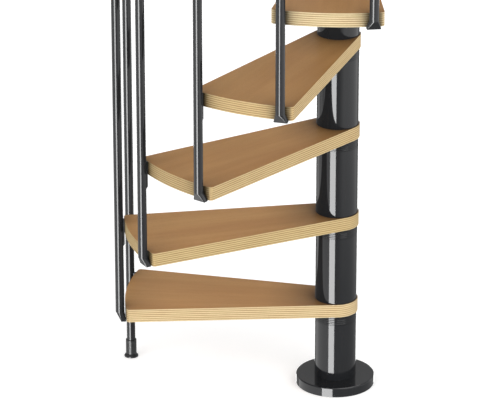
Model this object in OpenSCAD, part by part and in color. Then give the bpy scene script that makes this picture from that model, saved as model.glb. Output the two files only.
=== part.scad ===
// Spiral staircase of the kind sold as a kit for a small opening. Wedge treads of multiplex are
// clamped on a column of stacked steel tubes and spacer rings. Round balusters tie each tread to
// the next one and carry a handrail. The stair climbs counter-clockwise seen from above.
// The origin is on the floor under the column's axis, +Z is up, and lengths are in millimetres.

/* [Stair] */
// Number of treads
tread_count = 6; // [3:1:8]
// Height from one tread to the next
rise = 242; // [210:1:250]
// Turn from one tread to the next, in degrees
step_angle = 22.7; // [20:0.1:26]
// Direction of the first baluster from +X, in degrees
first_angle = 165.3; // [0:0.1:360]

/* [Treads] */
// Radius of the outer edge of the treads
tread_r = 548; // [480:1:700]
// Thickness of a tread
tread_t = 35; // [26:1:42]
// Length of outer edge between a baluster's axis and the tread's corner
tread_overhang = 28; // [27:0.5:45]
// Radius of the outer corners
tread_corner_r = 9; // [4:0.5:12]
// Width by which the round inner end stands out past the column
tread_inner_rim = 3; // [2:0.5:15]

/* [Column] */
// Outer diameter of the column tubes
column_d = 108; // [95:1:125]
// Wall of the column tubes
column_wall = 3; // [2:0.5:6]
// Number of spacer rings under each tread
ring_count = 5; // [1:1:7]
// Thickness of one spacer ring
ring_t = 5; // [3:0.5:7]
// Width of a spacer ring from bore to rim
ring_w = 16; // [8:1:25]
// Diameter of the tie rod inside the column
rod_d = 20; // [12:1:30]
// Height of the cap over the tie rod's nut
column_cap_h = 20; // [16:1:40]

/* [Base] */
// Diameter of the cover on the floor
cover_d = 204; // [190:1:260]
// Height of the cover
cover_h = 25; // [22:1:45]
// Wall of the cover
cover_wall = 2.5; // [1.5:0.5:4]
// Room between the flange and the cover's wall
flange_room = 4.5; // [2:0.5:8]
// Thickness of the flange
flange_t = 10; // [6:1:14]
// Number of anchor holes in the flange
anchor_count = 4; // [3:1:6]
// Diameter of an anchor hole
anchor_d = 12; // [8:0.5:14]

/* [Balusters] */
// Outer diameter of a baluster tube
baluster_d = 23; // [18:0.5:30]
// Wall of a baluster tube
baluster_wall = 2; // [1.5:0.5:4]
// Gap between a baluster and the outer edge of the treads
baluster_gap = 3; // [2:0.5:12]
// Width of the flat shoe at a baluster's lower end, along the tread's edge
shoe_w = 34; // [30:1:38]
// Depth of the shoe, away from the tread's edge
shoe_depth = 12.5; // [8:0.5:20]
// Height of the shoe's straight rim
shoe_rim = 3; // [2:0.5:8]
// Height of the taper from the shoe's rim to the round tube
shoe_taper = 20; // [12:1:24]
// Length by which the shoe hangs below the tread
shoe_drop = 2.5; // [0:0.5:6]
// Width of the bracket between a baluster and the tread that it passes
bracket_w = 11; // [8:0.5:18]
// Length of the bracket's tail below the tread
bracket_tail = 38; // [20:1:60]
// Height of the chamfer at the end of the tail
bracket_chamfer = 6; // [2:0.5:12]

/* [Foot] */
// Height of the sleeve under the first baluster
foot_h = 48; // [30:1:80]
// Wall of the sleeve
foot_wall = 2.5; // [1.5:0.5:5]
// Diameter of the pad on the floor
foot_pad_d = 37; // [36:1:60]
// Height of the pad's straight rim
foot_rim_h = 3; // [2:0.5:6]
// Height of the flare from the pad to the sleeve
foot_flare_h = 6; // [3:0.5:15]

/* [Handrail] */
// Height of the handrail's axis over the tread nosings
rail_height = 900; // [800:10:1000]
// Diameter of the handrail
rail_d = 40; // [34:1:50]
// Length of handrail past the first and the last baluster
rail_overrun = 70; // [50:5:120]
// Thickness of the plug in each end of the handrail
rail_cap_t = 10; // [6:1:16]
// Thickness of the saddle under the handrail
saddle_t = 3; // [2:0.5:5]
// Length of the saddle along the handrail
saddle_l = 56; // [40:1:80]
// Length of baluster inside the holder's cap
holder_grip = 14; // [8:1:30]
// Thickness of the holder's cap over the end of the baluster
holder_top = 4; // [2:0.5:8]
// Wall of the holder's cap around the baluster
holder_wall = 2; // [1.5:0.5:4]
// Diameter of the neck between the cap and the saddle
neck_d = 14; // [8:1:18]

/* [Hidden] */
// Sub-part to draw, or all of them
// Room between pieces that are pushed into or against each other
seat_clearance = 0.2;
// Room around the tie rod
rod_clearance = 1;
// Length by which a cut runs past the face that it opens
overrun = 1;
// Chamfer on each rim of a spacer ring
ring_chamfer = 0.8;
// Radius of the cover's upper edge
cover_edge_r = 3;
// Radius of the column cap's upper edge
column_cap_edge_r = 8;
// Depth of the column cap's pocket over the rod's nut
column_cap_pocket = 12;
// Diameter of the column cap's pocket
column_cap_pocket_d = 40;
// Radius of a rail plug's edge
rail_cap_edge_r = 7;
// Ledge where a baluster's tube meets its tapered shoe
shoe_ledge = 0.2;
// Share of the handrail's section that the saddle wraps, measured from its lower side
saddle_wrap_share = 0.3;

// Facets of drawn circles, of the rounded shoe, and of arcs in outlines
$fn = 96;
shoe_sides = 32;
corner_steps = 6;
inner_steps = 28;
outer_steps = 22;
edge_steps = 5;
rail_sides = 24;
rail_steps_per_tread = 8;

steel_colour = [0.13, 0.13, 0.14];
plastic_colour = [0.1, 0.1, 0.11];
wood_colour = [0.64, 0.5, 0.35];

baluster_circle_r = tread_r + baluster_gap + baluster_d / 2;
ring_stack = ring_count * ring_t;
flange_d = cover_d - 2 * (cover_wall + flange_room);
anchor_pcd = (column_d + flange_d) / 2;
tread_inner_r = column_d / 2 + tread_inner_rim;
rail_pitch = atan2(rise, baluster_circle_r * step_angle * PI / 180);
rail_overrun_angle = rail_overrun * cos(rail_pitch) / baluster_circle_r * 180 / PI;
rail_first_angle = first_angle - rail_overrun_angle;
rail_last_angle = first_angle + tread_count * step_angle + rail_overrun_angle;
rail_joint_angle = first_angle + floor(tread_count / 2) * step_angle;
rail_joint_gap = seat_clearance / 2 / baluster_circle_r * 180 / PI;
holder_d = baluster_d + 2 * (holder_wall + seat_clearance);
holder_drop = (rail_d / 2 + saddle_t) / cos(rail_pitch) + holder_d / 2 * tan(rail_pitch);

function numbered(name, first, last) = [for (i = [first : last]) str(name, "_", i)];

// Points of an arc about a centre, from one angle to another, both ends included
function arc(centre, r, from, to, steps) =
    [for (i = [0 : steps]) let (a = from + (to - from) * i / steps) centre + r * [cos(a), sin(a)]];

// Direction of baluster i, which stands at the rear corner of tread i and the front corner of the next
function baluster_angle(i) = first_angle + i * step_angle;

// Height of a tread's upper face
function tread_top(k) = k * rise;

// Height of the handrail's axis in a direction
function rail_z(a) = rise + rail_height + rise * (a - first_angle) / step_angle;

// Height of a baluster's upper end, inside its holder
function baluster_top(i) = rail_z(baluster_angle(i)) - holder_drop - holder_top;

// Places children on the axis of baluster i, with X pointing away from the column
module at_baluster(i) {
    rotate(baluster_angle(i)) translate([baluster_circle_r, 0, 0]) children();
}

// Places children on the handrail, with Z along the climb, Y pointing down from it and X outwards
module along_rail(a) {
    rotate(a) translate([baluster_circle_r, 0, rail_z(a)]) rotate([rail_pitch - 90, 0, 0]) children();
}

// Steel plate that is anchored to the floor and carries the column
module base_flange() {
    color(steel_colour) difference() {
        cylinder(d = flange_d, h = flange_t);
        for (i = [0 : anchor_count - 1])
            rotate(i * 360 / anchor_count) translate([anchor_pcd / 2, 0, -overrun])
                cylinder(d = anchor_d, h = flange_t + 2 * overrun);
    }
}

// Round cover that hides the flange and its anchors, with a hole for the first tube
module base_cover() {
    outer = cover_d / 2;
    hole = column_d / 2 + seat_clearance;
    color(steel_colour) rotate_extrude() polygon(concat(
        [[outer - cover_wall, 0], [outer, 0]],
        arc([outer - cover_edge_r, cover_h - cover_edge_r], cover_edge_r, 0, 90, edge_steps),
        [[hole, cover_h], [hole, cover_h - cover_wall], [outer - cover_wall, cover_h - cover_wall]]
    ));
}

// Rod from the flange to the cap that clamps tubes, rings and treads together
module tie_rod() {
    top = tread_top(tread_count) + column_cap_pocket - seat_clearance;
    color(steel_colour) translate([0, 0, flange_t]) cylinder(d = rod_d, h = top - flange_t);
}

// Tube below tread k, standing on the flange or on the tread under it
module column_tube(k) {
    bottom = k == 1 ? flange_t : tread_top(k - 1);
    length = tread_top(k) - tread_t - ring_stack - bottom;
    color(steel_colour) translate([0, 0, bottom]) difference() {
        cylinder(d = column_d, h = length);
        translate([0, 0, -overrun]) cylinder(d = column_d - 2 * column_wall, h = length + 2 * overrun);
    }
}

// Stack of thin rings below tread k, whose number sets the rise
module spacer_rings(k) {
    rim = column_d / 2;
    stack = [for (i = [0 : ring_count - 1], p = [
        [rim - ring_chamfer, i * ring_t],
        [rim, i * ring_t + ring_chamfer],
        [rim, (i + 1) * ring_t - ring_chamfer]
    ]) p];
    color(steel_colour) translate([0, 0, tread_top(k) - tread_t - ring_stack]) rotate_extrude() polygon(concat(
        stack,
        [[rim - ring_chamfer, ring_stack], [rim - ring_w, ring_stack], [rim - ring_w, 0]]
    ));
}

// Outline of a tread along +X: a round inner end about the column, sides that leave it as tangents,
// rounded outer corners, and an outer edge about the column's axis
module tread_outline() {
    corner = step_angle / 2 + tread_overhang / tread_r * 180 / PI;
    side_normal = corner + acos(tread_inner_r / tread_r);
    round_r = tread_r - tread_corner_r;
    round_angle = side_normal - acos((tread_inner_r - tread_corner_r) / round_r);
    round_centre = round_r * [cos(round_angle), sin(round_angle)];
    round_mirror = [round_centre.x, -round_centre.y];
    outer_edge = arc([0, 0], tread_r, -round_angle, round_angle, outer_steps);
    polygon(concat(
        [for (i = [1 : outer_steps - 1]) outer_edge[i]],
        arc(round_centre, tread_corner_r, round_angle, side_normal, corner_steps),
        arc([0, 0], tread_inner_r, side_normal, 360 - side_normal, inner_steps),
        arc(round_mirror, tread_corner_r, -side_normal, -round_angle, corner_steps)
    ));
}

// Wedge of multiplex between balusters k - 1 and k
module tread(k) {
    color(wood_colour) rotate(baluster_angle(k - 0.5)) translate([0, 0, tread_top(k) - tread_t])
        difference() {
            linear_extrude(tread_t) tread_outline();
            translate([0, 0, -overrun]) cylinder(d = rod_d + 2 * rod_clearance, h = tread_t + 2 * overrun);
        }
}

// Flat end of a baluster that bears on the tread's edge and tapers into the round tube
module baluster_shoe() {
    face = tread_r + seat_clearance - baluster_circle_r;
    hull() {
        translate([face, -shoe_w / 2, 0]) cube([shoe_depth, shoe_w, shoe_rim]);
        translate([0, 0, shoe_rim + shoe_taper - shoe_ledge])
            cylinder(d = baluster_d - 2 * shoe_ledge, h = shoe_ledge, $fn = shoe_sides);
    }
}

// Tube from the foot, or from its shoe at the rear corner of tread i, up to the handrail
module baluster(i) {
    bottom = i == 0 ? foot_rim_h : tread_top(i) - tread_t - shoe_drop;
    tube_start = i == 0 ? 0 : shoe_rim + shoe_taper - shoe_ledge;
    length = baluster_top(i) - bottom;
    color(steel_colour) at_baluster(i) translate([0, 0, bottom]) difference() {
        union() {
            translate([0, 0, tube_start]) cylinder(d = baluster_d, h = length - tube_start);
            if (i > 0) baluster_shoe();
        }
        translate([0, 0, tube_start + baluster_wall])
            cylinder(d = baluster_d - 2 * baluster_wall, h = length);
    }
}

// Strip between the front corner of tread k and the baluster that passes it, cut to the tube's curve
module tread_bracket(k) {
    inner = tread_r + seat_clearance - baluster_circle_r;
    outer = -sqrt(pow(baluster_d / 2, 2) - pow(bracket_w / 2, 2));
    height = tread_t + bracket_tail;
    color(plastic_colour) at_baluster(k - 1) translate([0, 0, tread_top(k) - height]) difference() {
        rotate([90, 0, 0]) translate([0, 0, -bracket_w / 2]) linear_extrude(bracket_w) polygon([
            [inner, bracket_chamfer], [outer, 0], [outer, height], [inner, height]
        ]);
        translate([0, 0, -overrun]) cylinder(r = baluster_d / 2 + seat_clearance, h = height + 2 * overrun);
    }
}

// Sleeve with a flared pad that holds the first baluster on the floor
module baluster_foot() {
    bore = baluster_d / 2 + seat_clearance;
    sleeve = bore + foot_wall;
    color(plastic_colour) at_baluster(0) rotate_extrude() polygon([
        [0, 0], [foot_pad_d / 2, 0], [foot_pad_d / 2, foot_rim_h], [sleeve, foot_rim_h + foot_flare_h],
        [sleeve, foot_h], [bore, foot_h], [bore, foot_rim_h], [0, foot_rim_h]
    ]);
}

// Cap on baluster i with a neck and a saddle that follows the handrail's slope
module rail_holder(i) {
    a = baluster_angle(i);
    top = baluster_top(i) + holder_top;
    saddle_d = rail_d + 2 * (seat_clearance + saddle_t);
    color(steel_colour) difference() {
        union() {
            at_baluster(i) translate([0, 0, top - holder_top - holder_grip])
                cylinder(d = holder_d, h = holder_grip + holder_top);
            at_baluster(i) translate([0, 0, top - holder_top]) cylinder(d = neck_d, h = rail_z(a) - top);
            along_rail(a) intersection() {
                cylinder(d = saddle_d, h = saddle_l, center = true);
                translate([-saddle_d / 2, saddle_d * (1 / 2 - saddle_wrap_share), -saddle_l / 2])
                    cube([saddle_d, saddle_d, saddle_l]);
            }
        }
        at_baluster(i) translate([0, 0, top - holder_top - holder_grip - overrun])
            cylinder(d = baluster_d + 2 * seat_clearance, h = holder_grip + overrun);
        along_rail(a) cylinder(d = rail_d + 2 * seat_clearance, h = saddle_l + 2 * rail_d, center = true);
    }
}

// Point on the handrail's skin in direction a, at angle b around its section
function rail_point(a, b) =
    [baluster_circle_r * cos(a), baluster_circle_r * sin(a), rail_z(a)]
    + rail_d / 2 * cos(b) * [cos(a), sin(a), 0]
    + rail_d / 2 * sin(b) * [sin(a) * sin(rail_pitch), -cos(a) * sin(rail_pitch), cos(rail_pitch)];

// Length of round rail swept along the helix over the balusters, from one direction to another
module rail_length(from, to) {
    rings = ceil((to - from) / step_angle * rail_steps_per_tread);
    points = [for (i = [0 : rings], j = [0 : rail_sides - 1])
        rail_point(from + (to - from) * i / rings, j * 360 / rail_sides)];
    sides = [for (i = [0 : rings - 1], j = [0 : rail_sides - 1]) let (n = (j + 1) % rail_sides)
        [i * rail_sides + j, i * rail_sides + n, (i + 1) * rail_sides + n, (i + 1) * rail_sides + j]];
    first_end = [for (j = [0 : rail_sides - 1]) rail_sides - 1 - j];
    last_end = [for (j = [0 : rail_sides - 1]) rings * rail_sides + j];
    polyhedron(points, concat(sides, [first_end, last_end]));
}

// Rail from the foot of the stair to the joint over the middle baluster
module handrail_lower() {
    color(plastic_colour) rail_length(rail_first_angle, rail_joint_angle - rail_joint_gap);
}

// Rail from the joint to the head of the stair
module handrail_upper() {
    color(plastic_colour) rail_length(rail_joint_angle + rail_joint_gap, rail_last_angle);
}

// Domed plug for one end of the handrail, standing on its flat face
module rail_end_cap() {
    rotate_extrude() polygon(concat(
        [[0, 0], [rail_d / 2, 0]],
        arc([rail_d / 2 - rail_cap_edge_r, rail_cap_t - rail_cap_edge_r], rail_cap_edge_r, 0, 90, edge_steps),
        [[0, rail_cap_t]]
    ));
}

// Plugs in both ends of the handrail
module rail_end_caps() {
    color(plastic_colour) {
        along_rail(rail_first_angle) rotate([180, 0, 0]) rail_end_cap();
        along_rail(rail_last_angle) rail_end_cap();
    }
}

// Cap on the last tread, hollow over the tie rod's nut
module column_cap() {
    rim = column_d / 2;
    pocket = column_cap_pocket_d / 2;
    color(plastic_colour) translate([0, 0, tread_top(tread_count)]) rotate_extrude() polygon(concat(
        [[pocket, 0], [rim, 0]],
        arc([rim - column_cap_edge_r, column_cap_h - column_cap_edge_r], column_cap_edge_r, 0, 90, edge_steps),
        [[0, column_cap_h], [0, column_cap_pocket], [pocket, column_cap_pocket]]
    ));
}

base_flange();
base_cover();
tie_rod();
for (k = [1 : tread_count]) {
    column_tube(k);
    spacer_rings(k);
    tread(k);
    tread_bracket(k);
}
for (i = [0 : tread_count]) {
    baluster(i);
    rail_holder(i);
}
baluster_foot();
handrail_lower();
handrail_upper();
rail_end_caps();
column_cap();
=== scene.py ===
import math

import bmesh
import bpy
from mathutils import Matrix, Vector


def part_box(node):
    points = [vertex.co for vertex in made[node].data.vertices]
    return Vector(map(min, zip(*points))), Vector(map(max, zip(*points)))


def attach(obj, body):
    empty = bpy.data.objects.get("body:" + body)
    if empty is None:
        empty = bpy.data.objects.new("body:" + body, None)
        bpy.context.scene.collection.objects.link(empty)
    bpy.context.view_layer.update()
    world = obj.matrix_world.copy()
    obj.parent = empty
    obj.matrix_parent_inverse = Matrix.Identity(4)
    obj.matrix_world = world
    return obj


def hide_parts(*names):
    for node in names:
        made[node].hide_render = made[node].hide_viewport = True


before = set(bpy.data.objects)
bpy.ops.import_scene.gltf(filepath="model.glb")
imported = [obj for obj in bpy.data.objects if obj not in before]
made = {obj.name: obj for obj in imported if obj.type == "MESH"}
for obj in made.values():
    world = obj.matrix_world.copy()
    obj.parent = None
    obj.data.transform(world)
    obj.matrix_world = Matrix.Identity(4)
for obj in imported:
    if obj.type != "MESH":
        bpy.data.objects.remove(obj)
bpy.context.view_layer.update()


# Base flange: a round plate of hot-rolled steel with four anchor holes, painted dark grey and bolted down.
# It carries the whole column and stays hidden under its cover.
mottle_low = 0.3
mottle_high = 0.7
mill_scale_size = 0.012
mill_scale_relief = 0.00004
paint_thick = (0.095, 0.095, 0.100)
paint_thin = (0.125, 0.125, 0.130)


def new_finish(name):
    finish = bpy.data.materials.new(name)
    finish.use_nodes = True
    tree = finish.node_tree
    tree.nodes.clear()
    surface = tree.nodes.new("ShaderNodeBsdfPrincipled")
    output = tree.nodes.new("ShaderNodeOutputMaterial")
    tree.links.new(surface.outputs["BSDF"], output.inputs["Surface"])
    return finish, tree, surface


def feed(tree, socket, value):
    if isinstance(value, bpy.types.NodeSocket):
        tree.links.new(value, socket)
    else:
        socket.default_value = value


def add(tree, kind, settings=None, values=(), **sockets):
    node = tree.nodes.new("ShaderNode" + kind)
    for name, value in (settings or {}).items():
        setattr(node, name, value)
    for socket, value in zip(node.inputs, values):
        feed(tree, socket, value)
    for name, value in sockets.items():
        feed(tree, node.inputs[name], value)
    return node.outputs[0]


def where(tree):
    node = tree.nodes.new("ShaderNodeTexCoord")
    return node.outputs["Object"]


def mottle(tree, size, turn=0.0, detail=3.0, start=(0.0, 0.0, 0.0)):
    if isinstance(size, float):
        size = (size, size, size)
    grid = add(tree, "Mapping", {"vector_type": "TEXTURE"},
               Vector=where(tree), Location=start, Rotation=(0.0, 0.0, turn), Scale=size)
    return add(tree, "TexNoise", Vector=grid, Scale=1.0, Detail=detail, Roughness=0.55)


def shades(tree, amount, *stops):
    ramp = tree.nodes.new("ShaderNodeValToRGB")
    points = ramp.color_ramp.elements
    while len(points) < len(stops):
        points.new(1.0)
    for point, (place, colour) in zip(points, stops):
        point.position = place
        point.color = (*colour, 1.0)
    tree.links.new(amount, ramp.inputs["Fac"])
    return ramp.outputs["Color"]


def two_shades(tree, amount, dark, light):
    return shades(tree, amount, (mottle_low, dark), (mottle_high, light))


def span(tree, amount, low, high, start=0.0, end=1.0):
    return add(tree, "MapRange", values=(amount, start, end, low, high))


def raised(tree, height, depth, under=None):
    node = tree.nodes.new("ShaderNodeBump")
    node.inputs["Distance"].default_value = depth
    tree.links.new(height, node.inputs["Height"])
    if under is not None:
        tree.links.new(under, node.inputs["Normal"])
    return node.outputs["Normal"]


def coat(node_name, finish):
    piece = made[node_name]
    piece.data.materials.clear()
    piece.data.materials.append(finish)


painted, tree, surface = new_finish("painted_plate")
mill_scale = mottle(tree, mill_scale_size, detail=5.0)
feed(tree, surface.inputs["Base Color"], two_shades(tree, mill_scale, paint_thick, paint_thin))
feed(tree, surface.inputs["Roughness"], span(tree, mill_scale, 0.32, 0.55))
feed(tree, surface.inputs["Normal"], raised(tree, mill_scale, mill_scale_relief))
coat("base_flange", painted)


# Base cover: a shallow round cap spun from steel sheet, lacquered gloss black and slipped over the flange.
# Column tubes: drawn steel tube, one length for each rise, with the same gloss lacquer baked on.
bays = 6
column_peel = 0.004
peel_depth = 0.000004
lacquer_deep = (0.0122, 0.0130, 0.0147)
lacquer_thin = (0.0145, 0.0154, 0.0172)


def black_lacquer(name, peel):
    finish, tree, surface = new_finish(name)
    cloud = mottle(tree, (0.16, 0.16, 0.30))
    orange_peel = mottle(tree, peel, detail=2.0)
    rub = mottle(tree, (0.02, 0.02, 0.06), detail=4.0)
    feed(tree, surface.inputs["Base Color"], two_shades(tree, cloud, lacquer_deep, lacquer_thin))
    feed(tree, surface.inputs["Roughness"], span(tree, rub, 0.045, 0.115, mottle_low, mottle_high))
    feed(tree, surface.inputs["Normal"], raised(tree, orange_peel, peel_depth))
    return finish


column_lacquer = black_lacquer("column_lacquer", column_peel)
coat("base_cover", column_lacquer)
for number in range(1, bays + 1):
    coat(f"column_tube_{number}", column_lacquer)


# Tie rod: threaded rod of blackened steel through the whole column.
# Its nut under the top cap clamps tubes, rings and treads together.
thread_pitch = 0.0025
thread_sharpness = 0.6
rod_dull = (0.095, 0.093, 0.090)
rod_bright = (0.135, 0.132, 0.128)


def reckon(tree, operation, *values):
    return add(tree, "Math", {"operation": operation}, values)


rod_steel, tree, surface = new_finish("blackened_rod")
height = add(tree, "SeparateXYZ", Vector=where(tree)).node.outputs["Z"]
thread = reckon(tree, "PINGPONG", height, thread_pitch / 2)
dull = mottle(tree, (0.01, 0.01, 0.02))
surface.inputs["Metallic"].default_value = 1.0
feed(tree, surface.inputs["Base Color"], two_shades(tree, dull, rod_dull, rod_bright))
feed(tree, surface.inputs["Roughness"], span(tree, dull, 0.25, 0.45))
feed(tree, surface.inputs["Normal"], raised(tree, thread, thread_sharpness))
coat("tie_rod", rod_steel)


# Spacer rings: five thin turned rings under each tread, lacquered black like the tubes over fine lathe marks.
# Rings are added or left out on site to set the rise.
lathe_feed = 0.0006
lathe_depth = 0.000003
ring_dark = (0.0120, 0.0125, 0.0140)
ring_light = (0.0150, 0.0157, 0.0172)

turned, tree, surface = new_finish("turned_rings")
lathe = mottle(tree, (0.5, 0.5, lathe_feed), detail=2.0)
rub = mottle(tree, (0.02, 0.02, 0.004))
feed(tree, surface.inputs["Base Color"], two_shades(tree, rub, ring_dark, ring_light))
feed(tree, surface.inputs["Roughness"], span(tree, rub, 0.06, 0.14, mottle_low, mottle_high))
feed(tree, surface.inputs["Normal"], raised(tree, lathe, lathe_depth))
for number in range(1, bays + 1):
    coat(f"spacer_rings_{number}", turned)


# Treads: wedges sawn from thirteen-ply beech multiplex, stained brown on the faces and left pale at the edges.
# Each board has its own tone, a painted shade that darkens its sawn outer end, and arrises eased by hand.
# Painted shade: ambient occlusion darkens the wood in the corners beside the column and balusters. Painted
# reflection: the boards turn dark grey in glossy rays, so the black tubes mirror them as dark shapes.
first_turn = math.radians(165.3)
step_turn = math.radians(22.7)
tread_reach = 0.548
arris = 0.0015
plies = 13
stain_dark = (0.368, 0.189, 0.074)
stain_middle = (0.395, 0.210, 0.084)
stain_light = (0.420, 0.230, 0.094)
glue_line = (0.36, 0.22, 0.095)
ply_cross = (0.53, 0.37, 0.175)
ply_along = (0.68, 0.53, 0.295)
ply_pale = (0.76, 0.63, 0.385)
bare = (1.0, 1.0, 1.0)
fleck = (0.84, 0.80, 0.76)
face_tone = ((1.20, 1.23, 1.22), (1.20, 1.23, 1.19), (1.13, 1.15, 1.08),
             (1.07, 1.09, 1.01), (1.13, 1.17, 1.19), (1.13, 1.15, 1.13))
edge_tone = ((0.97, 0.97, 0.99), (0.84, 0.82, 0.74), (0.88, 0.855, 0.80),
             (0.95, 0.92, 0.86), (1.06, 1.12, 1.22), (0.92, 0.91, 0.88))
# Painted shade: the edge colour at the outer end of each board is multiplied by this darker tone.
painted_end_shade = (0.94, 0.92, 0.90, 1.0)
# Painted reflection: the dark grey the boards show in glossy rays in place of their own colour.
painted_reflection_grey = (0.20, 0.196, 0.192, 1.0)
# Painted shade: ambient occlusion within this reach darkens the wood, down to the deepest painted shade factor
# below.
corner_reach = 0.15
deepest_painted_shade = 0.31
lacquer_sheen = 0.12
fibre_relief = 0.00004
ply_relief = 0.00002


def toned(colour, tone):
    return tuple(part * share for part, share in zip(colour, tone))


def glazed(tree, under, glaze, amount=1.0):
    return add(tree, "MixRGB", {"blend_type": "MULTIPLY"}, (amount, under, glaze))


def eased(piece, width, turns=2, angle=40.0):
    weld = piece.modifiers.new("closed", "WELD")
    weld.merge_threshold = 0.00002
    bevel = piece.modifiers.new("eased", "BEVEL")
    bevel.width = width
    bevel.segments = turns
    bevel.limit_method = "ANGLE"
    bevel.angle_limit = math.radians(angle)
    bevel.harden_normals = True


def stained_face(tree, tone, turn, shift, fibres):
    figure = mottle(tree, (0.45, 0.055, 0.05), turn, 2.0, shift)
    streaks = mottle(tree, (0.30, 0.016, 0.05), turn, 3.0, shift)
    flecks = mottle(tree, (0.0045, 0.0006, 0.003), turn, 1.0, shift)
    face = shades(tree, figure, (mottle_low, toned(stain_dark, tone)),
                  (0.5, toned(stain_middle, tone)), (mottle_high, toned(stain_light, tone)))
    face = glazed(tree, face, two_shades(tree, streaks, (0.965, 0.96, 0.955), (1.03, 1.035, 1.04)))
    face = glazed(tree, face, two_shades(tree, fibres, (0.95, 0.95, 0.95), (1.04, 1.04, 1.04)))
    return glazed(tree, face, shades(tree, flecks, (0.58, bare), (0.72, fleck)))


def sawn_edge(tree, tone, shift, spot, wave):
    end_grain = mottle(tree, (0.0022, 0.0022, 0.0008), 0.0, 2.0, shift)
    drift = mottle(tree, (0.05, 0.05, 0.0026), 0.0, 2.0, shift)
    bands = reckon(tree, "ADD", wave, span(tree, drift, -0.35, 0.35, 0.2, 0.8))
    edge = shades(tree, span(tree, bands, 0.0, 1.0, -1.3, 1.3),
                  (0.08, toned(glue_line, tone)), (0.30, toned(ply_cross, tone)),
                  (0.48, toned(ply_along, tone)), (0.95, toned(ply_pale, tone)))
    edge = glazed(tree, edge, two_shades(tree, end_grain, (0.88, 0.86, 0.83), (1.05, 1.05, 1.05)))
    reach = add(tree, "CombineXYZ", X=spot.outputs["X"], Y=spot.outputs["Y"])
    reach = add(tree, "VectorMath", {"operation": "LENGTH"}, (reach,)).node.outputs["Value"]
    # Painted shade: the edge is darker towards the outer end of the board.
    end_shade_mask = span(tree, reach, 0.0, 1.0, tread_reach - 0.010, tread_reach - 0.004)
    return glazed(tree, edge, painted_end_shade, end_shade_mask)


def multiplex(number):
    board = f"tread_{number}"
    low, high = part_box(board)
    turn = first_turn + (number - 0.5) * step_turn
    shift = (0.37 * number, 0.23 * number, 0.0)
    finish, tree, surface = new_finish(f"multiplex_{number}")

    fibres = mottle(tree, (0.035, 0.0011, 0.01), turn, 3.0, shift)
    spot = add(tree, "SeparateXYZ", Vector=where(tree)).node
    ply = add(tree, "MapRange", {"clamp": False},
              (spot.outputs["Z"], low.z, high.z, 0.0, math.pi * plies))
    wave = reckon(tree, "SINE", ply)
    face = stained_face(tree, face_tone[number - 1], turn, shift, fibres)
    edge = sawn_edge(tree, edge_tone[number - 1], shift, spot, wave)

    facing = add(tree, "NewGeometry").node.outputs["Normal"]
    facing = add(tree, "SeparateXYZ", Vector=facing).node.outputs["Z"]
    flat = span(tree, reckon(tree, "ABSOLUTE", facing), 0.0, 1.0, 0.45, 0.75)
    wood = add(tree, "MixRGB", values=(flat, edge, face))
    # Painted shade: the wood colour is darkened where ambient occlusion finds parts close by, beside the
    # column and balusters.
    corners = add(tree, "AmbientOcclusion", {"samples": 12}, Color=wood, Distance=corner_reach).node
    painted_corner_shade = span(tree, corners.outputs["AO"], deepest_painted_shade, 1.0, 0.4, 1.0)
    wood = glazed(tree, corners.outputs["Color"], painted_corner_shade)
    # Painted reflection: glossy rays see the boards in dark grey, so the black tubes mirror them as dark
    # shapes.
    path = tree.nodes.new("ShaderNodeLightPath")
    feed(tree, surface.inputs["Base Color"],
         add(tree, "MixRGB", values=(path.outputs["Is Glossy Ray"], wood, painted_reflection_grey)))
    feed(tree, surface.inputs["Roughness"], span(tree, fibres, 0.44, 0.60))
    surface.inputs["Specular IOR Level"].default_value = lacquer_sheen
    grain = raised(tree, fibres, fibre_relief)
    feed(tree, surface.inputs["Normal"], raised(tree, wave, ply_relief, grain))
    coat(board, finish)
    eased(made[board], arris)


for number in range(1, bays + 1):
    multiplex(number)


# Balusters: round steel tube, lacquered gloss black, pressed flat at the foot into a wedge-shaped shoe.
# The shoe is screwed to the rear corner of its tread, and the tube runs up past the next one.
baluster_peel = 0.003

baluster_lacquer = black_lacquer("baluster_lacquer", baluster_peel)
for number in range(bays + 1):
    coat(f"baluster_{number}", baluster_lacquer)


# Tread brackets and the foot of the first baluster: moulded black plastic with a fine spark texture.
# Each bracket is a strip that fills the gap between a tread's corner and the baluster beside it.
spark_size = 0.0009
spark_relief = 0.00004
plastic_dark = (0.0075, 0.0080, 0.0085)
plastic_light = (0.0125, 0.0130, 0.0135)

moulded, tree, surface = new_finish("moulded_plastic")
spark = mottle(tree, spark_size, detail=3.0)
flow = mottle(tree, (0.03, 0.03, 0.05))
feed(tree, surface.inputs["Base Color"], two_shades(tree, flow, plastic_dark, plastic_light))
feed(tree, surface.inputs["Roughness"], span(tree, spark, 0.24, 0.42, mottle_low, mottle_high))
feed(tree, surface.inputs["Normal"], raised(tree, spark, spark_relief))
for number in range(1, bays + 1):
    coat(f"tread_bracket_{number}", moulded)
coat("baluster_foot", moulded)


# Rail holders: lacquered caps on the balusters, each with a saddle bent to the slope of the rail.
# Two round-headed socket screws of blackened steel hold each saddle to the rail from below.
baluster_circle = 0.5625
rise = 0.242
rail_start = 1.142
rail_pitch = math.atan2(rise, baluster_circle * step_turn)
screw_places = (-0.004, 0.019)
screw_seat = 0.0227
head_sides = 24
head_profile = ((0.0042, 0.0), (0.0042, 0.0010), (0.0037, 0.0019), (0.0028, 0.0024))
head_height = head_profile[-1][1]
socket_r = 0.0017
socket_depth = 0.0012
oxide_size = 0.0015
oxide_relief = 0.00001
oxide_dark = (0.060, 0.058, 0.055)
oxide_light = (0.105, 0.102, 0.098)


def rail_axis(turn):
    climb = rise * (turn - first_turn) / step_turn
    return Vector((baluster_circle * math.cos(turn), baluster_circle * math.sin(turn), rail_start + climb))


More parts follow.
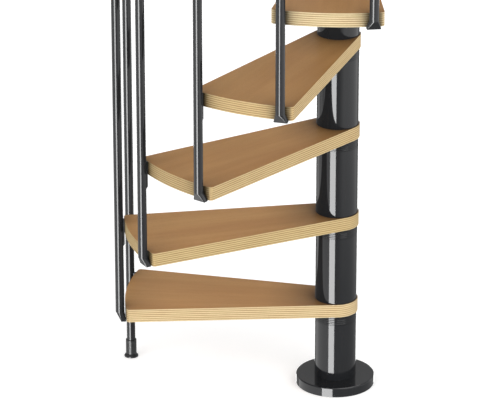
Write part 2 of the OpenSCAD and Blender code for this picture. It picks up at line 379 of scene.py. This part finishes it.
def rail_directions(turn):
    outward = Vector((math.cos(turn), math.sin(turn), 0.0))
    along = Vector((-outward.y, outward.x, math.tan(rail_pitch))).normalized()
    return outward, along, outward.cross(along)


def hoop(shape, middle, first_way, second_way, radii):
    corners = []
    for index, radius in enumerate(radii):
        angle = 2.0 * math.pi * index / len(radii)
        spoke = math.cos(angle) * first_way + math.sin(angle) * second_way
        corners.append(shape.verts.new(middle + radius * spoke))
    return corners


def skin(shape, hoops):
    for near, far in zip(hoops, hoops[1:]):
        for index in range(len(near)):
            face = shape.faces.new((near[index - 1], near[index], far[index], far[index - 1]))
            face.smooth = True
    for end in (hoops[0], hoops[-1]):
        rim = shape.faces.new(end)
        for edge in rim.edges:
            edge.smooth = False


def new_piece(name, shape, finish):
    bmesh.ops.recalc_face_normals(shape, faces=shape.faces)
    mesh = bpy.data.meshes.new(name)
    shape.to_mesh(mesh)
    shape.free()
    mesh.materials.append(finish)
    piece = bpy.data.objects.new(name, mesh)
    bpy.context.scene.collection.objects.link(piece)
    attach(piece, "root")
    return piece


def socket_radius(index):
    sixth = math.pi / 3.0
    off_flat = (2.0 * math.pi * index / head_sides) % sixth - sixth / 2.0
    return socket_r * math.cos(sixth / 2.0) / math.cos(off_flat)


def screw_head(shape, seat, outward, along, above):
    socket = [socket_radius(index) for index in range(head_sides)]
    outline = [([radius] * head_sides, height) for radius, height in head_profile]
    outline += [(socket, head_height), (socket, head_height - socket_depth)]
    hoops = [hoop(shape, seat - height * above, outward, along, radii) for radii, height in outline]
    skin(shape, hoops)
    for corner in hoops[-2]:
        for edge in corner.link_edges:
            edge.smooth = False


blackened, tree, surface = new_finish("blackened_screws")
oxide = mottle(tree, oxide_size)
surface.inputs["Metallic"].default_value = 1.0
feed(tree, surface.inputs["Base Color"], two_shades(tree, oxide, oxide_dark, oxide_light))
feed(tree, surface.inputs["Roughness"], span(tree, oxide, 0.28, 0.45))
feed(tree, surface.inputs["Normal"], raised(tree, oxide, oxide_relief))

screws = bmesh.new()
for number in range(bays + 1):
    coat(f"rail_holder_{number}", baluster_lacquer)
    turn = first_turn + number * step_turn
    outward, along, above = rail_directions(turn)
    for place in screw_places:
        screw_head(screws, rail_axis(turn) + place * along - screw_seat * above, outward, along, above)
new_piece("rail_screws", screws, blackened)


# Handrail: a helical rail of black plastic over a steel core, bent on site, with a fine leathery grain.
# It comes in two lengths with eased ends that meet over the middle baluster.
# The end caps and the cap on the column are moulded of the same plastic.
rail_r = 0.020
rail_sides = 48
rail_hoops_per_tread = 20
rail_overrun = 0.070 * math.cos(rail_pitch) / baluster_circle
rail_middle = first_turn + 0.5 * bays * step_turn
rail_joint = 0.0001 / baluster_circle
rail_easing = 0.0006
pebble_size = 0.0014
pebble_relief = 0.00005
rail_dark = (0.0090, 0.0090, 0.0095)
rail_light = (0.0145, 0.0145, 0.0150)

rail_skin, tree, surface = new_finish("rail_skin")
pebble = mottle(tree, pebble_size, detail=3.0)
hands = mottle(tree, 0.05, detail=4.0)
feed(tree, surface.inputs["Base Color"], two_shades(tree, hands, rail_dark, rail_light))
feed(tree, surface.inputs["Roughness"], span(tree, hands, 0.28, 0.44, mottle_low, mottle_high))
feed(tree, surface.inputs["Normal"], raised(tree, pebble, pebble_relief))


def rail_length(node, start, stop):
    shape = bmesh.new()
    hoop_count = round((stop - start) / step_turn * rail_hoops_per_tread)
    easing_turn = rail_easing * math.cos(rail_pitch) / baluster_circle
    stations = [(start, rail_r - rail_easing), (start + easing_turn, rail_r)]
    for index in range(1, hoop_count):
        stations.append((start + (stop - start) * index / hoop_count, rail_r))
    stations += [(stop - easing_turn, rail_r), (stop, rail_r - rail_easing)]
    hoops = []
    for turn, radius in stations:
        outward, along, above = rail_directions(turn)
        hoops.append(hoop(shape, rail_axis(turn), outward, above, [radius] * rail_sides))
    skin(shape, hoops)
    piece = new_piece(f"{node}_bent", shape, rail_skin)
    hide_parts(node)


rail_length("handrail_lower", first_turn - rail_overrun, rail_middle - rail_joint)
rail_length("handrail_upper", rail_middle + rail_joint, first_turn + bays * step_turn + rail_overrun)
coat("rail_end_caps", moulded)
coat("column_cap", moulded)


# Studio: a white floor in a white room, with a large soft lamp on each side of the camera.
# Tall light strips and grey walls show in the lacquer, and the floor takes the shadow of the stair.
floor_r = 80.0
floor_drop = 0.001
floor_white = (0.8, 0.8, 0.8, 1.0)
floor_lift = 0.45
soft_level = 0.6
white_level = 1.0
wall_foot = -0.41
wall_top = 0.1
ceiling_rim = 0.8
ceiling_level = 2.5
lamp_width = 50.0
lamp_height = 25.0

floor_mesh = bpy.data.meshes.new("floor")
shape = bmesh.new()
bmesh.ops.create_circle(shape, cap_ends=True, segments=96, radius=floor_r)
shape.to_mesh(floor_mesh)
shape.free()
floor = bpy.data.objects.new("floor", floor_mesh)
floor.location.z = -floor_drop
floor.visible_glossy = False
bpy.context.scene.collection.objects.link(floor)

paper = bpy.data.materials.new("white_floor")
paper.use_nodes = True
tree = paper.node_tree
tree.nodes.clear()
ray = tree.nodes.new("ShaderNodeLightPath")
shade = add(tree, "BsdfDiffuse", Color=floor_white)
glow = add(tree, "Emission", Strength=reckon(tree, "MULTIPLY", ray.outputs["Is Camera Ray"], floor_lift))
paper_out = tree.nodes.new("ShaderNodeOutputMaterial")
feed(tree, paper_out.inputs["Surface"], add(tree, "AddShader", values=(shade, glow)))
floor_mesh.materials.append(paper)

room = bpy.data.worlds.new("white_room")
room.use_nodes = True
room.cycles.sampling_method = "NONE"
bpy.context.scene.world = room
tree = room.node_tree
tree.nodes.clear()
ray = tree.nodes.new("ShaderNodeLightPath")
look = tree.nodes.new("ShaderNodeTexCoord").outputs["Generated"]
look = add(tree, "SeparateXYZ", Vector=look).node
slope = look.outputs["Z"]
bearing = reckon(tree, "ARCTAN2", look.outputs["X"], reckon(tree, "MULTIPLY", look.outputs["Y"], -1.0))
low_part = reckon(tree, "LESS_THAN", slope, wall_top)
high_part = reckon(tree, "GREATER_THAN", slope, ceiling_rim)


def light_panel(tree, direction, middle, half_width, strength):
    panel = reckon(tree, "COMPARE", direction, math.radians(middle), math.radians(half_width))
    return reckon(tree, "MULTIPLY", panel, strength)


def either(tree, switch, off, on):
    node = tree.nodes.new("ShaderNodeMix")
    for index, value in ((0, switch), (2, off), (3, on)):
        feed(tree, node.inputs[index], value)
    return node.outputs[0]


strip = light_panel(tree, bearing, middle=-22.5, half_width=15.5, strength=12.0)
rear_strip = light_panel(tree, reckon(tree, "ABSOLUTE", bearing), middle=180.0, half_width=12.0, strength=4.0)
strips = reckon(tree, "MULTIPLY", reckon(tree, "ADD", strip, rear_strip), low_part)
right_wall = light_panel(tree, bearing, middle=70.0, half_width=62.0, strength=1.0)
right_wall = reckon(tree, "MULTIPLY", right_wall, span(tree, slope, 0.0, 0.95, wall_foot, -0.33))
right_wall = reckon(tree, "MULTIPLY", right_wall,
                    span(tree, bearing, 0.0, 1.0, math.radians(8.0), math.radians(34.0)))
left_wall = light_panel(tree, bearing, middle=-85.0, half_width=50.0, strength=1.0)
left_wall = reckon(tree, "MULTIPLY", left_wall, span(tree, slope, 0.85, 0.5, wall_foot, -0.30))
walls = reckon(tree, "MULTIPLY", reckon(tree, "ADD", left_wall, right_wall), low_part)
walls = reckon(tree, "ADD", walls, span(tree, slope, 0.38, 0.46, wall_top, 0.3))
ceiling = reckon(tree, "MULTIPLY", high_part, ceiling_level)
gloss_level = reckon(tree, "ADD", reckon(tree, "ADD", strips, walls), ceiling)

first_bounce = reckon(tree, "LESS_THAN", ray.outputs["Diffuse Depth"], 0.5)
mirrored = reckon(tree, "MULTIPLY", ray.outputs["Is Glossy Ray"], first_bounce)
level = either(tree, mirrored, soft_level, gloss_level)
shown = either(tree, ray.outputs["Is Camera Ray"], level, white_level)
glow = add(tree, "Background", Color=(1.0, 1.0, 1.0, 1.0), Strength=shown)
room_out = tree.nodes.new("ShaderNodeOutputWorld")
feed(tree, room_out.inputs["Surface"], glow)


def soft_lamp(name, energy, side):
    lamp = bpy.data.lights.new(name, "SUN")
    lamp.energy = energy
    lamp.angle = math.radians(lamp_width)
    stand = bpy.data.objects.new(name, lamp)
    stand.rotation_euler = (math.radians(90.0 - lamp_height), 0.0, math.radians(side))
    stand.visible_glossy = False
    bpy.context.scene.collection.objects.link(stand)


soft_lamp("right_lamp", 1.6, 38.0)
soft_lamp("left_lamp", 1.15, -38.0)


# Camera: a long lens from the front, well above the treads, turned down to the lower half of the stair.
# It stands where the photograph's own perspective is met best without a shifted lens.
look_down = 22.139
look_left = 1.705

lens = bpy.data.cameras.new("camera")
lens.sensor_width = 36.0
lens.lens = 255.95
lens.clip_end = 200.0
camera = bpy.data.objects.new("camera", lens)
camera.location = (0.029, -8.4736, 3.9588)
camera.rotation_euler = (math.radians(90.0 - look_down), 0.0, math.radians(look_left))
bpy.context.scene.collection.objects.link(camera)
bpy.context.scene.camera = camera
bpy.context.scene.view_settings.view_transform = "Standard"
